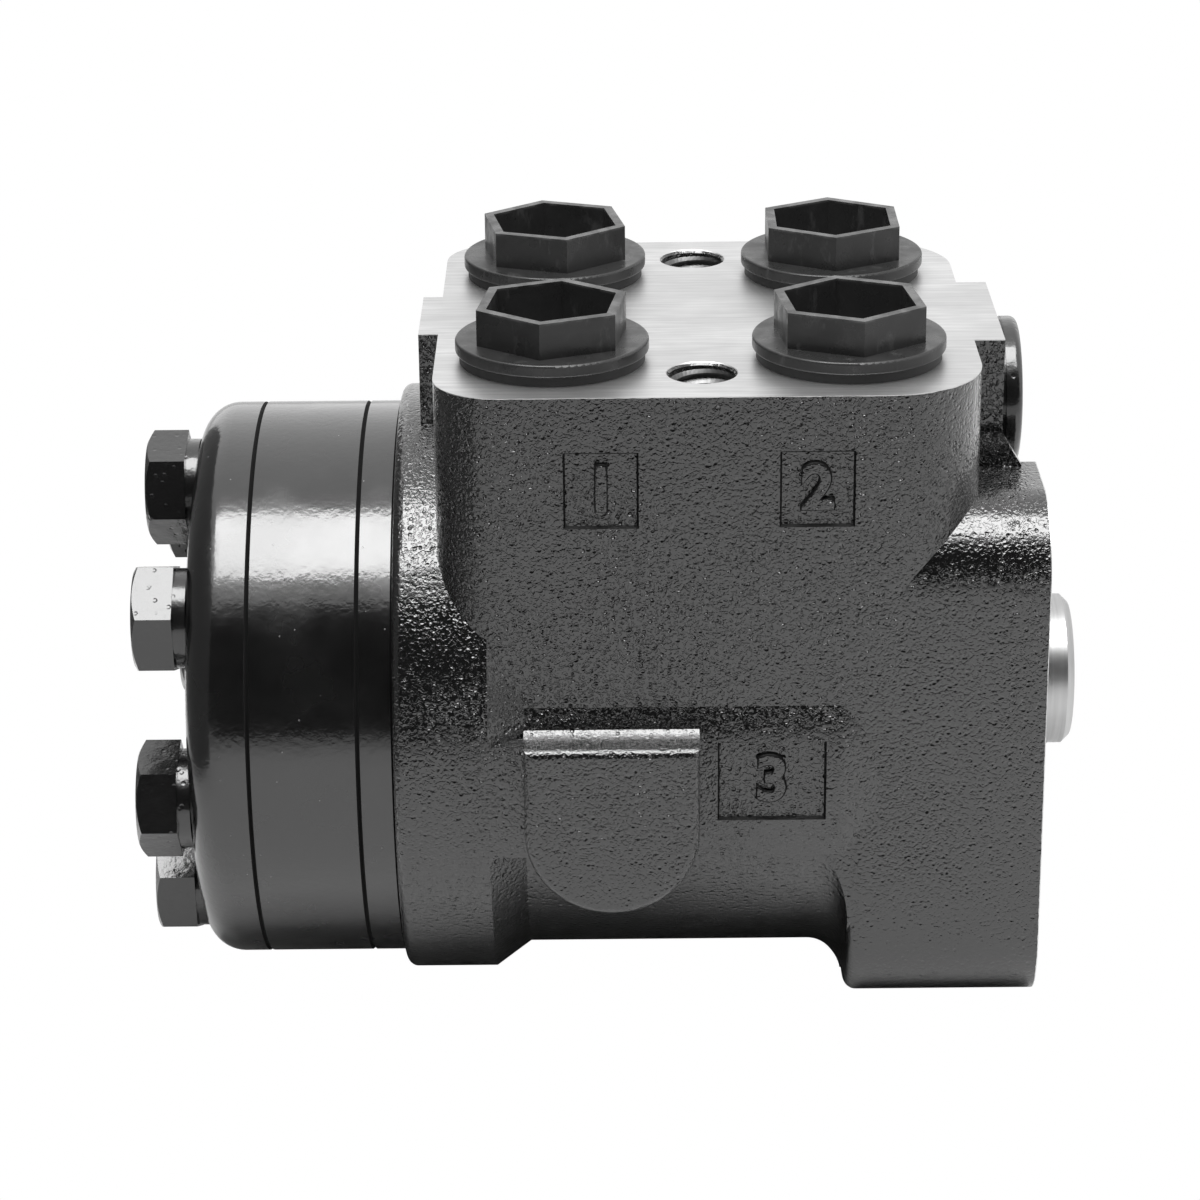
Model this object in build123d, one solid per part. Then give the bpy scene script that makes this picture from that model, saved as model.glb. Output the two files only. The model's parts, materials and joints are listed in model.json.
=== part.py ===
from build123d import *
from math import atan, cos, hypot, pi, radians, sin, sqrt, tan
import os

# Orbital steering unit: a cast housing with a rotary spool valve and a gerotor metering set.
# Millimetres. The origin is the centre of the steering column's mounting face, on the spool's
# axis. +X points out of that face towards the column, +Z points up to the port face.

# ---- housing casting ----
HOUSING_LENGTH = 100.0          # gear set face to column face
BARREL_RADIUS = 43.8
GEAR_FLANGE_RADIUS = 47.8
GEAR_FLANGE_LENGTH = 14.5
GEAR_FLANGE_SLOPE = 5.5         # length of the cone behind the gear flange
GEAR_FLANGE_EDGE = 1.6
COLUMN_FLANGE_HALF = 42.0
COLUMN_FLANGE_LENGTH = 30.0
COLUMN_FLANGE_EDGE = 2.0
COLUMN_FLANGE_ROOT = 5.0        # concave radius where the barrel meets the column flange
FLARE_INSET = 0.4
BARREL_TAPER_START = 1.0        # before the column flange; the barrel tapers to its flatter sides
BARREL_TAPER_LENGTH = 6.0
PORT_FACE_Z = 61.5
OVERLAP = 2.0                   # how far a joined form or a cut reaches past the one it meets
DEEP_OVERLAP = 8.0              # the same on the round barrel
BLOCK_GEAR_INSET = 6.9          # from the gear face to the block
BLOCK_COLUMN_INSET = 10.0       # from the column face to the block
BLOCK_FRONT_Y = -42.2
BLOCK_REAR_Y = 40.6
BLOCK_GEAR_CORNER = 10.0
BLOCK_COLUMN_CORNER = 15.0
GEAR_TAB_HALF = 10.0
GEAR_TAB_REACH = 3.1
COLUMN_TAB_HALF = 15.5
COLUMN_TAB_REACH = 4.8
GUSSET_HALF = 19.0
GUSSET_REACH = 2.8
GUSSET_RISE = 4.6
NOTCH_HALF = 17.0               # relief plug's clearance in the column flange
NOTCH_FLOOR_Z = 34.5
SENSE_BOSS_INSET = 33.35        # blind load sensing boss on the front, from the gear face
SENSE_BOSS_Z = -6.85
SENSE_BOSS_RADIUS = 13.45
SENSE_BOSS_TOP_Z = 7.4
SENSE_BOSS_FACE_Y = -49.1
SENSE_BOSS_EDGE = 1.4
SENSE_BOSS_ROOT = 3.0
WEB_LOW_Z = -11.5               # web between the gear flange and the boss
WEB_EDGE = 2.0
MARK_DEPTH = 0.6
BLOCK_MARK_WIDTH = 11.3
BLOCK_MARK_HEIGHT = 12.0
BLOCK_MARK_Z = 46.85
BLOCK_MARK_SHIFTS = (7.25, -5.65)     # of each mark from the port above it
SENSE_MARK_WIDTH = 16.7
SENSE_MARK_HEIGHT = 13.1
SENSE_MARK_SHIFT = 24.6         # from the boss towards the column
SENSE_MARK_Z = -0.35

# ---- tapped holes in the housing, M10, drawn at the thread's outer diameter ----
THREAD_RADIUS = 5.0
THREAD_CLEARANCE = 0.05
MOUTH_CHAMFER = 0.45
COLUMN_BOLT_CIRCLE = 82.5
COLUMN_HOLE_DEPTH = 18.0
VALVE_HOLE_SPACING = 61.0
VALVE_HOLE_DEPTH = 17.0

# ---- ports ----
PORT_CENTRE_SHIFT = -0.95       # of the port group from the block's middle
PORT_PITCH_X = 45.3
PORT_PITCH_Y = 45.4
PORT_RADIUS = 10.48
PORT_DEPTH = 15.5
PASSAGE_RADIUS = 4.5
GALLERY_OUTER_RADIUS = 22.0
GALLERY_WIDTH = 6.0
GALLERY_MOUTH_Y = 12.0
GALLERY_MOUTH_Z = 17.0
GALLERY_PLACES = {"right": 24.0, "pressure": 36.0, "left": 50.0, "tank": 67.0}     # from the gear face
CHAMBER_DRILL_RADIUS = 2.2
CHAMBER_CROSS_RADIUS = 2.0
CHAMBER_DRILL_CIRCLE = 24.5
CHAMBER_DRILL_DEPTH = 14.0

# ---- port plugs ----
PLUG_SEAL_RADIUS = 14.2
PLUG_SEAL_THICKNESS = 1.5
PLUG_FLANGE_RADIUS = 14.8
PLUG_FLANGE_THICKNESS = 2.0
PLUG_FLANGE_EDGE = 0.4
PLUG_HEX_ACROSS = 21.2
PLUG_HEX_HEIGHT = 5.6
PLUG_HEX_WALL = 1.4
PLUG_STEM_LENGTH = 11.0
PLUG_STEM_CLEARANCE = 0.15
PLUG_CORE_RADIUS = 7.6
PLUG_FLOOR = 2.0
PLUG_TURNS = (22.0, 37.0, 40.0, 30.0)   # front gear, front column, rear gear, rear column

# ---- metering set ----
PLATE_THICKNESS = 5.5
STATOR_THICKNESS = 16.8
COVER_THICKNESS = 9.9
COVER_EDGE = 5.6
SET_RADIUS = 45.0
JOINT_CHAMFER = 0.35
ECCENTRICITY = 3.2
ROTOR_TEETH = 6
LOBE_CIRCLE = 32.4
LOBE_RADIUS = 8.0
LOBE_CLEARANCE = 0.04
TIP_CLEARANCE = 0.1
SIDE_CLEARANCE = 0.02
POINTS_PER_TOOTH = 24           # even: each arc runs through three of them
POINT_CROWDING = 0.8            # draws the points towards the tight roots
PLATE_BORE_RADIUS = 11.5
PLATE_PORT_RADIUS = 2.2
SET_BOLT_CIRCLE = 33.0
SET_BOLT_HOLE_RADIUS = 5.25
RING_CIRCLE = 41.8
RING_SECTION = 0.9
RING_CLEARANCE = 0.05

# ---- cover bolts, M10 hexagon head ----
BOLT_ACROSS_FLATS = 16.0
BOLT_HEAD_HEIGHT = 6.4
BOLT_HEAD_CHAMFER_ANGLE = 30.0
BOLT_LENGTH = 50.0
BOLT_HOLE_EXTRA = 2.5
WASHER_RADIUS = 7.8
WASHER_THICKNESS = 2.0
BOLT_TURNS = (14.0, 40.0, 12.0, 35.0, 42.0, 24.0, 53.0)   # from the top bolt towards the front
CHECK_BOLT_INDEX = 6            # bolt beside the pressure port
CHECK_PIN_RADIUS = 2.0
CHECK_PIN_LENGTH = 12.0

# ---- sleeve and spool ----
SLEEVE_BORE_RADIUS = 19.0
RUNNING_CLEARANCE = 0.03
SPOOL_RADIUS = 15.0
SPOOL_BORE_RADIUS = 10.5
NECK_RADIUS = 12.6
NECK_REACH = 8.3
NECK_CHAMFER = 1.2
NECK_BAND = 0.35
NECK_BAND_START = 4.6
BORE_SHOULDER_X = -16.0
END_CLEARANCE = 0.1
WINDOW_RADIUS = 1.6
WINDOW_COUNT = 6
FEED_COUNT = 12
SPOOL_SLOT_LENGTH = 17.0
SPOOL_SLOT_WIDTH = 2.6
SPOOL_SLOT_DEPTH = 1.6
SPOOL_SLOT_PLACE = 30.0         # from the gear face
SPLINE_TEETH = 12
INPUT_SPLINE_MINOR = 9.0
INPUT_SPLINE_MAJOR = 10.3
INPUT_SPLINE_SPACE = 2.7
INPUT_SPLINE_END_X = -14.0
LEAD_IN_RADIUS = 10.7
LEAD_IN_LENGTH = 4.0

# ---- thrust bearing and seals at the column end ----
RACE_OUTER_RADIUS = 18.8
RACE_INNER_RADIUS = 13.0
OUTER_RACE_THICKNESS = 2.0
INNER_RACE_THICKNESS = 1.0
NEEDLE_RADIUS = 1.0
NEEDLE_LENGTH = 4.4
NEEDLE_COUNT = 14
NEEDLE_CLEARANCE = 0.01
CAGE_THICKNESS = 1.2
CAGE_CLEARANCE = 0.06
NECK_HOLE_RADIUS = 13.1
SEAL_OUTER_RADIUS = 16.4
SEAL_X = -13.0
SEAL_WIDTH = 4.0
SEAL_CLEARANCE = 0.05
SEAL_LIP = 1.0
DUST_SEAL_RADIUS = 16.6
DUST_SEAL_DEPTH = 5.0
DUST_SEAL_INSET = 0.4

# ---- cross pin and neutral springs ----
PIN_X = -38.0
PIN_RADIUS = 3.25
PIN_CLEARANCE = 0.02
PIN_END_INSET = 0.4
SPOOL_PIN_HOLE_RADIUS = 5.5
SPRING_X = -26.0
LEAF_WIDTH = 5.5
LEAF_THICKNESS = 0.5
LEAF_HALF_LENGTH = 17.4
LEAF_PACK_HALF = 2.0
LEAF_BOW = 0.9
LEAF_SLOT_CLEARANCE = 0.15
LEAF_CLEAR = 0.02               # between a bowed leaf's ends and the flat leaf
SPRING_RING_THICKNESS = 0.9
SPRING_RING_WIDTH = 7.0
SPRING_RING_CLEARANCE = 0.05

# ---- cardan shaft ----
FORK_RADIUS = 9.3
FORK_REACH = 6.5                # beyond the cross pin's axis
FORK_LENGTH = 14.0
SLOT_CLEARANCE = 0.2
SLOT_FLOOR_CLEARANCE = 0.8
SHANK_RADIUS = 6.4
DRIVE_SPLINE_LENGTH = 12.0
DRIVE_TIP_RADIUS = 8.6
DRIVE_ROOT_RADIUS = 7.05
DRIVE_TOOTH_WIDTH = 1.75
HUB_MINOR_RADIUS = 7.45
HUB_MAJOR_RADIUS = 8.95
HUB_SPACE_WIDTH = 2.4
SPACER_RADIUS = 6.9
SPACER_GAP = 0.4

# ---- relief valve in the port block ----
RELIEF_Z = 48.0
RELIEF_BORE_RADIUS = 8.0
RELIEF_BORE_DEPTH = 40.8
RELIEF_HEAD_RADIUS = 12.0
RELIEF_HEAD_THICKNESS = 2.6
RELIEF_HEAD_EDGE = 1.2
RELIEF_WASHER_THICKNESS = 1.0
RELIEF_WASHER_RADIUS = 11.4
RELIEF_STEM_LENGTH = 15.0
RELIEF_STEM_BORE = 6.0
RELIEF_SOCKET_ACROSS = 8.0
RELIEF_SOCKET_DEPTH = 2.0
RELIEF_CAP_THICKNESS = 4.5
ADJUSTER_LENGTH = 4.0
ADJUSTER_SOCKET_ACROSS = 5.0
ADJUSTER_SOCKET_DEPTH = 2.5
SEAT_LENGTH = 6.0
SEAT_HOLE_RADIUS = 3.0
POPPET_RADIUS = 5.2
POPPET_COLLAR = 2.5
POPPET_STEM_RADIUS = 2.6
POPPET_STEM_LENGTH = 3.0
POPPET_CONE_LENGTH = 7.0
POPPET_TIP_RADIUS = 0.8
RELIEF_SPRING_RADIUS = 4.2
RELIEF_WIRE_RADIUS = 0.75
RELIEF_SPRING_TURNS = 5
WIRE_SIDES = 8                  # the hidden spring's wire is drawn eight-sided
RELIEF_FIT = 0.05
RELIEF_FEED_RADIUS = 2.5
RELIEF_FEED_LENGTH = 12.0
RELIEF_RETURN_X = -31.5
RELIEF_RETURN_RISE = 1.0        # above the valve's axis

# ---- check valve under the pressure port ----
CHECK_BORE_RADIUS = 5.0
BALL_POCKET_RADIUS = 4.6
BALL_RADIUS = 4.0
BALL_SEAT_RADIUS = 2.7
BALL_FLOOR_Z = 32.0
BYPASS_RADIUS = 1.4             # lets oil past the ball while it lies on the floor
BALL_TRAVEL = 1.5
BALL_CLEARANCE = 0.02
BUSHING_LENGTH = 5.0
BUSHING_HOLE_RADIUS = 2.6

# ---- places worked out from the sizes above ----
GEAR_FACE_X = -HOUSING_LENGTH
BLOCK_GEAR_SIDE_X = GEAR_FACE_X + BLOCK_GEAR_INSET
BLOCK_COLUMN_SIDE_X = -BLOCK_COLUMN_INSET
SENSE_BOSS_X = GEAR_FACE_X + SENSE_BOSS_INSET
PORT_CENTRE_X = (BLOCK_GEAR_SIDE_X + BLOCK_COLUMN_SIDE_X) / 2 + PORT_CENTRE_SHIFT
GALLERY_XS = {name: GEAR_FACE_X + place for name, place in GALLERY_PLACES.items()}
CHAMBER_DRILL_END_X = GEAR_FACE_X + CHAMBER_DRILL_DEPTH
SPOOL_SLOT_X = GEAR_FACE_X + SPOOL_SLOT_PLACE
PLATE_X = GEAR_FACE_X - PLATE_THICKNESS
STATOR_X = PLATE_X - STATOR_THICKNESS
COVER_X = STATOR_X - COVER_THICKNESS
HEAD_SEAT_X = COVER_X - WASHER_THICKNESS
COLUMN_HOLE_OFFSET = COLUMN_BOLT_CIRCLE / 2 / sqrt(2)
COLUMN_CORNER = COLUMN_FLANGE_HALF - COLUMN_HOLE_OFFSET
LOBES = ROTOR_TEETH + 1
SPOT_FACE_X = BLOCK_COLUMN_SIDE_X + COLUMN_TAB_REACH
SLEEVE_RADIUS = SLEEVE_BORE_RADIUS - RUNNING_CLEARANCE
OUTER_RACE_X = BORE_SHOULDER_X - OUTER_RACE_THICKNESS
NEEDLE_X = OUTER_RACE_X - NEEDLE_RADIUS
INNER_RACE_X = NEEDLE_X - NEEDLE_RADIUS - INNER_RACE_THICKNESS
SLEEVE_GEAR_X = GEAR_FACE_X + END_CLEARANCE
SPRING_RING_INNER = SLEEVE_RADIUS - SPRING_RING_THICKNESS
ROTOR_MIDDLE_X = (STATOR_X + PLATE_X) / 2
CARDAN_REACH = PIN_X - ROTOR_MIDDLE_X
CARDAN_TILT = atan(ECCENTRICITY / CARDAN_REACH) * 180 / pi
PORTS = {
    "right": (PORT_CENTRE_X - PORT_PITCH_X / 2, -PORT_PITCH_Y / 2),
    "left": (PORT_CENTRE_X + PORT_PITCH_X / 2, -PORT_PITCH_Y / 2),
    "pressure": (PORT_CENTRE_X - PORT_PITCH_X / 2, PORT_PITCH_Y / 2),
    "tank": (PORT_CENTRE_X + PORT_PITCH_X / 2, PORT_PITCH_Y / 2),
}
PORT_FLOOR_Z = PORT_FACE_Z - PORT_DEPTH
BALL_Z = BALL_FLOOR_Z + sqrt(BALL_RADIUS**2 - BALL_SEAT_RADIUS**2) + BALL_CLEARANCE
BUSHING_Z = BALL_Z + BALL_TRAVEL + sqrt(BALL_RADIUS**2 - BUSHING_HOLE_RADIUS**2) + BALL_CLEARANCE
SEAT_X = SPOT_FACE_X - RELIEF_BORE_DEPTH


# ---- small shapes ----
def rod_x(radius, x_low, x_high, y=0.0, z=0.0):
    """Round bar along X."""
    return Pos((x_low + x_high) / 2, y, z) * Rot(0, 90, 0) * Cylinder(radius, x_high - x_low)


def rod_z(radius, z_low, z_high, x=0.0, y=0.0):
    """Round bar along Z."""
    return Pos(x, y, (z_low + z_high) / 2) * Cylinder(radius, z_high - z_low)


def ring_x(outer, inner, x_low, x_high):
    """Plain ring about the spool's axis."""
    return rod_x(outer, x_low, x_high) - rod_x(inner, x_low, x_high)


def slab(x_low, x_high, y_low, y_high, z_low, z_high):
    """Box between two opposite corners."""
    size = (x_high - x_low, y_high - y_low, z_high - z_low)
    return Pos((x_low + x_high) / 2, (y_low + y_high) / 2, (z_low + z_high) / 2) * Box(*size)


def drilling(radius, start, end):
    """Round hole between two points."""
    run = Vector(*end) - Vector(*start)
    return extrude(Plane(origin=start, z_dir=run) * Circle(radius), run.length)


def prism_x(sketch, x_low, x_high):
    """A section drawn in Y and Z, drawn out along X."""
    return Pos(x_low, 0, 0) * extrude(Plane.YZ * sketch, x_high - x_low)


def polar_yz(count, radius, first=90.0):
    """Places (y, z) spaced evenly on a circle, counted towards the front (-Y)."""
    angles = [radians(first + 360.0 * step / count) for step in range(count)]
    return [(radius * cos(angle), radius * sin(angle)) for angle in angles]


def tapped_hole_x(x_mouth, depth, y, z, outward):
    """Hole from a face square to X, with a chamfered mouth; outward is +1 or -1 along X."""
    ends = sorted((x_mouth, x_mouth - outward * depth))
    hole = rod_x(THREAD_RADIUS, ends[0], ends[1], y, z)
    cone = Cone(THREAD_RADIUS, THREAD_RADIUS + MOUTH_CHAMFER, MOUTH_CHAMFER)
    return hole + Pos(x_mouth - outward * MOUTH_CHAMFER / 2, y, z) * Rot(0, 90 * outward, 0) * cone


def spline_section(teeth, root_radius, tip_radius, tooth_width):
    """Straight-sided teeth standing on a round core."""
    middle = (root_radius + tip_radius) / 2
    section = Circle(root_radius)
    for place in PolarLocations(middle, teeth):
        section += place * Rectangle(tip_radius - root_radius + 2.0, tooth_width)
    return section & Circle(tip_radius)


# ---- housing ----
def block_outline():
    """Plan of the port block, with its own corner radius at each end."""
    length = BLOCK_COLUMN_SIDE_X - BLOCK_GEAR_SIDE_X
    width = BLOCK_REAR_Y - BLOCK_FRONT_Y
    middle = Pos((BLOCK_COLUMN_SIDE_X + BLOCK_GEAR_SIDE_X) / 2, (BLOCK_REAR_Y + BLOCK_FRONT_Y) / 2)
    outline = middle * Rectangle(length, width)
    outline = fillet(outline.vertices().group_by(Axis.X)[0], BLOCK_GEAR_CORNER)
    return fillet(outline.vertices().group_by(Axis.X)[-1], BLOCK_COLUMN_CORNER)


def gear_flange():
    """Round flange that carries the metering set, with a cone behind it."""
    rim_x = GEAR_FACE_X + GEAR_FLANGE_LENGTH
    rim = rod_x(GEAR_FLANGE_RADIUS, GEAR_FACE_X, rim_x)
    rim = fillet(rim.edges().group_by(Axis.X)[0], GEAR_FLANGE_EDGE)
    cone = Cone(GEAR_FLANGE_RADIUS, BARREL_RADIUS, GEAR_FLANGE_SLOPE)
    return rim + Pos(rim_x + GEAR_FLANGE_SLOPE / 2, 0, 0) * Rot(0, 90, 0) * cone


def column_flange():
    """Square flange for the steering column, faired into the barrel."""
    square = RectangleRounded(2 * COLUMN_FLANGE_HALF, 2 * COLUMN_FLANGE_HALF, COLUMN_CORNER)
    flange = prism_x(square, -COLUMN_FLANGE_LENGTH, 0)
    flange = fillet(flange.edges().group_by(Axis.X)[0], COLUMN_FLANGE_EDGE)
    root, foot_x = COLUMN_FLANGE_ROOT, -COLUMN_FLANGE_LENGTH
    outer, hidden_x = BARREL_RADIUS + root, foot_x + 1.0
    profile = make_face([Line((foot_x - root, 0), (foot_x - root, BARREL_RADIUS)),
                         CenterArc((foot_x - root, outer), root, 270, 90),
                         Line((foot_x, outer), (hidden_x, outer)),
                         Line((hidden_x, outer), (hidden_x, 0)),
                         Line((hidden_x, 0), (foot_x - root, 0))])
    half = COLUMN_FLANGE_HALF - FLARE_INSET
    trim = RectangleRounded(2 * half, 2 * half, COLUMN_CORNER - FLARE_INSET)
    flare = revolve(Plane.XZ * profile, Axis.X) & prism_x(trim, foot_x - root - 1, hidden_x)
    return flange + flare


def tabs():
    """Flat-fronted tabs at both ends of the port block, and the gussets under one of them."""
    gear_tab = slab(BLOCK_GEAR_SIDE_X - GEAR_TAB_REACH, BLOCK_GEAR_SIDE_X + OVERLAP,
                    -GEAR_TAB_HALF, GEAR_TAB_HALF, BARREL_RADIUS - DEEP_OVERLAP, PORT_FACE_Z)
    column_tab = slab(BLOCK_COLUMN_SIDE_X - OVERLAP, SPOT_FACE_X, -COLUMN_TAB_HALF,
                      COLUMN_TAB_HALF, NOTCH_FLOOR_Z, PORT_FACE_Z)
    low = COLUMN_FLANGE_HALF
    inner_x = BLOCK_COLUMN_SIDE_X - OVERLAP
    corners = [(inner_x, low - OVERLAP), (SPOT_FACE_X + GUSSET_REACH, low - OVERLAP),
               (SPOT_FACE_X + GUSSET_REACH, low), (SPOT_FACE_X, low + GUSSET_RISE),
               (inner_x, low + GUSSET_RISE)]
    wedge = extrude(Plane.XZ * make_face(Polyline(corners, close=True)), GUSSET_HALF, both=True)
    between = slab(SPOT_FACE_X, OVERLAP, -NOTCH_HALF, NOTCH_HALF, NOTCH_FLOOR_Z, PORT_FACE_Z)
    return gear_tab + column_tab + (wedge - between)


def sense_boss():
    """Blind load sensing boss: straight sides over a half round, and a ledge on top."""
    inner_y = BLOCK_FRONT_Y + DEEP_OVERLAP
    height = SENSE_BOSS_TOP_Z - SENSE_BOSS_Z
    outline = Circle(SENSE_BOSS_RADIUS) + Pos(0, height / 2) * Rectangle(2 * SENSE_BOSS_RADIUS, height)
    boss = extrude(outline, inner_y - SENSE_BOSS_FACE_Y)
    boss = fillet(boss.edges().group_by(Axis.Z)[-1], SENSE_BOSS_EDGE)
    boss = Pos(SENSE_BOSS_X, inner_y, SENSE_BOSS_Z) * Rot(90, 0, 0) * boss
    root = SENSE_BOSS_ROOT
    low_x, high_x = SENSE_BOSS_X - SENSE_BOSS_RADIUS, SENSE_BOSS_X + SENSE_BOSS_RADIUS
    fillet_bar = slab(low_x, high_x, BLOCK_FRONT_Y - root, BLOCK_FRONT_Y + OVERLAP,
                      SENSE_BOSS_TOP_Z - OVERLAP, SENSE_BOSS_TOP_Z + root)
    hollow = rod_x(root, low_x - OVERLAP, high_x + OVERLAP, BLOCK_FRONT_Y - root, SENSE_BOSS_TOP_Z + root)
    return boss + (fillet_bar - hollow)


def flange_web():
    """Web that joins the gear flange to the boss on the front."""
    low_x = GEAR_FACE_X + GEAR_FLANGE_LENGTH - OVERLAP
    high_x = SENSE_BOSS_X - SENSE_BOSS_RADIUS + OVERLAP
    window = slab(low_x, high_x, -GEAR_FLANGE_RADIUS - OVERLAP, -BARREL_RADIUS + DEEP_OVERLAP,
                  WEB_LOW_Z, SENSE_BOSS_TOP_Z)
    window = fillet(window.edges().filter_by(Axis.Y).group_by(Axis.Z)[0], WEB_EDGE)
    return rod_x(GEAR_FLANGE_RADIUS, low_x, high_x) & window


def marking_pockets():
    """Shallow frames on the front where the cast marks stand."""
    pockets = []
    floor_y = BLOCK_FRONT_Y + MARK_DEPTH
    for port, shift in zip(("right", "left"), BLOCK_MARK_SHIFTS):
        x = PORTS[port][0] + shift
        pockets.append(slab(x - BLOCK_MARK_WIDTH / 2, x + BLOCK_MARK_WIDTH / 2,
                            BLOCK_FRONT_Y - OVERLAP, floor_y,
                            BLOCK_MARK_Z - BLOCK_MARK_HEIGHT / 2, BLOCK_MARK_Z + BLOCK_MARK_HEIGHT / 2))
    floor_y = -BARREL_RADIUS + 2 * MARK_DEPTH
    x = SENSE_BOSS_X + SENSE_MARK_SHIFT
    pockets.append(slab(x - SENSE_MARK_WIDTH / 2, x + SENSE_MARK_WIDTH / 2,
                        -BARREL_RADIUS - OVERLAP, floor_y, SENSE_MARK_Z - SENSE_MARK_HEIGHT / 2,
                        SENSE_MARK_Z + SENSE_MARK_HEIGHT / 2))
    return pockets


def valve_bore():
    """Bore for the sleeve, its galleries, and the stepped hole round the neck."""
    cuts = [rod_x(SLEEVE_BORE_RADIUS, GEAR_FACE_X, BORE_SHOULDER_X),
            rod_x(NECK_HOLE_RADIUS, BORE_SHOULDER_X, 0),
            rod_x(SEAL_OUTER_RADIUS, SEAL_X, SEAL_X + SEAL_WIDTH),
            rod_x(DUST_SEAL_RADIUS, -DUST_SEAL_DEPTH, 0)]
    for x in GALLERY_XS.values():
        cuts.append(rod_x(GALLERY_OUTER_RADIUS, x - GALLERY_WIDTH / 2, x + GALLERY_WIDTH / 2))
    return cuts


def port_cuts():
    """The four ports with their passages down to the galleries."""
    cuts = []
    for name, (x, y) in PORTS.items():
        side = 1 if y > 0 else -1
        cuts.append(rod_z(PORT_RADIUS, PORT_FLOOR_Z, PORT_FACE_Z, x, y))
        gallery = (GALLERY_XS[name], side * GALLERY_MOUTH_Y, GALLERY_MOUTH_Z)
        if name == "pressure":
            cuts.append(rod_z(CHECK_BORE_RADIUS, BUSHING_Z, PORT_FLOOR_Z, x, y))
            cuts.append(rod_z(BALL_POCKET_RADIUS, BALL_FLOOR_Z, BUSHING_Z, x, y))
            passage_z = BALL_FLOOR_Z - BALL_SEAT_RADIUS
            cuts.append(rod_z(BALL_SEAT_RADIUS, passage_z, BALL_FLOOR_Z, x, y))
            cuts.append(rod_z(BYPASS_RADIUS, passage_z - BALL_SEAT_RADIUS, BUSHING_Z, x,
                              y - side * BALL_POCKET_RADIUS))
            cuts.append(drilling(BALL_SEAT_RADIUS, (x, y, passage_z), gallery))
        else:
            cuts.append(drilling(PASSAGE_RADIUS, (x, y, PORT_FLOOR_Z + OVERLAP), gallery))
    return cuts


def relief_cuts():
    """Relief valve bore, with its feed from the pressure port and its return to tank."""
    pressure_x, pressure_y = PORTS["pressure"]
    tank_y = PORTS["tank"][1]
    feed_x = SEAT_X - RELIEF_FEED_LENGTH
    return_z = RELIEF_Z + RELIEF_RETURN_RISE
    return [rod_x(RELIEF_BORE_RADIUS, SEAT_X, SPOT_FACE_X, 0, RELIEF_Z),
            rod_x(RELIEF_FEED_RADIUS, feed_x, SEAT_X, 0, RELIEF_Z),
            drilling(RELIEF_FEED_RADIUS, (feed_x + RELIEF_FEED_RADIUS, 0, RELIEF_Z),
                     (pressure_x, pressure_y, PORT_FLOOR_Z + 2 * RELIEF_FEED_RADIUS)),
            drilling(RELIEF_FEED_RADIUS, (RELIEF_RETURN_X, 0, return_z),
                     (RELIEF_RETURN_X, tank_y, return_z))]


def threaded_cuts():
    """Tapped holes for the column, the flanged valve on the port face and the cover bolts."""
    cuts = []
    for y, z in polar_yz(4, COLUMN_BOLT_CIRCLE / 2, 45.0):
        cuts.append(tapped_hole_x(0, COLUMN_HOLE_DEPTH, y, z, 1))
    for side in (-1, 1):
        y = side * VALVE_HOLE_SPACING / 2
        cuts.append(rod_z(THREAD_RADIUS, PORT_FACE_Z - VALVE_HOLE_DEPTH, PORT_FACE_Z, PORT_CENTRE_X, y))
        mouth = Cone(THREAD_RADIUS, THREAD_RADIUS + MOUTH_CHAMFER, MOUTH_CHAMFER)
        cuts.append(Pos(PORT_CENTRE_X, y, PORT_FACE_Z - MOUTH_CHAMFER / 2) * mouth)
    grip = BOLT_LENGTH - (GEAR_FACE_X - HEAD_SEAT_X) + BOLT_HOLE_EXTRA
    for index, (y, z) in enumerate(polar_yz(LOBES, SET_BOLT_CIRCLE)):
        cuts.append(tapped_hole_x(GEAR_FACE_X, grip, y, z, -1))
        if index == CHECK_BOLT_INDEX:
            start = GEAR_FACE_X + grip
            radius = CHECK_PIN_RADIUS + THREAD_CLEARANCE
            cuts.append(rod_x(radius, start, start + CHECK_PIN_LENGTH, y, z))
    return cuts


def chamber_cuts():
    """Drillings that link the sleeve's windows to the chambers of the metering set."""
    cuts = []
    half_step = 180.0 / LOBES
    places = polar_yz(LOBES, CHAMBER_DRILL_CIRCLE, 90 + half_step)
    for y, z in places:
        cuts.append(rod_x(CHAMBER_DRILL_RADIUS, GEAR_FACE_X, CHAMBER_DRILL_END_X, y, z))
        scale = (SLEEVE_BORE_RADIUS - OVERLAP) / CHAMBER_DRILL_CIRCLE
        x = CHAMBER_DRILL_END_X - CHAMBER_DRILL_RADIUS
        cuts.append(drilling(CHAMBER_CROSS_RADIUS, (x, y * scale, z * scale), (x, y, z)))
    return cuts


def seal_groove(x_face, into):
    """Square groove for a face seal; into is +1 or -1, the way it goes into the metal."""
    depth = 2 * RING_SECTION + RING_CLEARANCE
    ends = sorted((x_face, x_face + into * depth))
    reach = RING_SECTION + 2 * RING_CLEARANCE
    return ring_x(RING_CIRCLE + reach, RING_CIRCLE - reach, *ends)


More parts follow.
